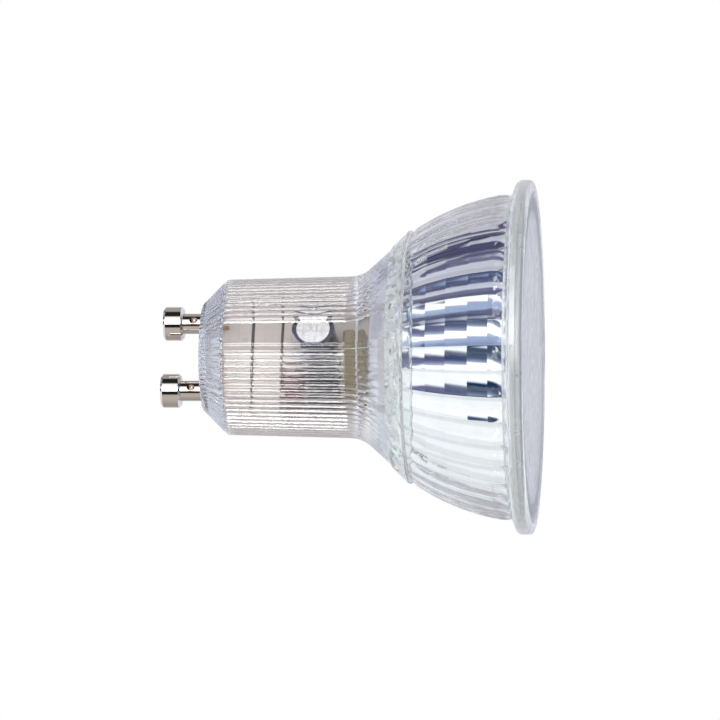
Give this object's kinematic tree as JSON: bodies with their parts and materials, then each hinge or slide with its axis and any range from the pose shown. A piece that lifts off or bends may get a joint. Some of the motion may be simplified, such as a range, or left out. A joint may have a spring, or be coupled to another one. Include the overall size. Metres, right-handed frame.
{
  "type": "gu10 spotlight bulb",
  "caption": "Mains spotlight bulb of clear pressed glass with a fluted cup, ribbed neck, mirrored reflector, flat front lens and a two-pin bayonet base.",
  "frame": {"origin": "centre of the front face, where the glass rim rests", "axes": "+Z along the bulb from the front face to the contact pins; the pins are spread along X and the flat windows of the neck face Y"},
  "size_m": [0.05, 0.05, 0.0526],
  "materials": {
    "pressed_glass": "clear pressed glass, fire-polished",
    "lens_plastic": "clear moulded lens",
    "bright_mirror": "bright faceted aluminium",
    "lamp_board": "white solder resist on aluminium",
    "driver_board": "cream laminate with fine tracks",
    "can_aluminium": "bright drawn can",
    "navy_sleeve": "dark blue shrink sleeve",
    "ferrite": "sintered ferrite",
    "black_sleeve": "black shrink sleeve",
    "wine_epoxy": "dipped epoxy",
    "tan_plastic": "tan moulded box",
    "chip_plastic": "black moulding compound",
    "fuse_lacquer": "grey-green lacquer",
    "bright_nickel": "bright nickel plate",
    "copper_wire": "bare copper",
    "white_insulation": "white insulation",
    "led_package": "white frame with yellow phosphor"
  },
  "bodies": {
    "root": {"glass_body": "pressed_glass", "front_lens": "lens_plastic", "reflector_cup": "bright_mirror", "led_board": "lamp_board", "driver_board": "driver_board", "capacitor_can": "can_aluminium", "capacitor_sleeve": "navy_sleeve", "choke_core": "ferrite", "choke_winding": "black_sleeve", "film_capacitor": "wine_epoxy", "box_capacitor": "tan_plastic", "bridge_rectifier": "chip_plastic", "driver_chip": "chip_plastic", "fuse_resistor": "fuse_lacquer", "contact_pin_left": "bright_nickel", "contact_pin_right": "bright_nickel", "pin_wire_left": "copper_wire", "pin_wire_right": "copper_wire", "output_lead_left": "white_insulation", "output_lead_right": "white_insulation", "led_1": "led_package", "chip_resistor_1": "chip_plastic", "led_2": "led_package", "chip_resistor_2": "chip_plastic", "led_3": "led_package", "chip_resistor_3": "chip_plastic", "led_4": "led_package", "chip_resistor_4": "chip_plastic", "led_5": "led_package", "chip_resistor_5": "chip_plastic", "led_6": "led_package", "chip_resistor_6": "chip_plastic"}
  },
  "joints": []
}
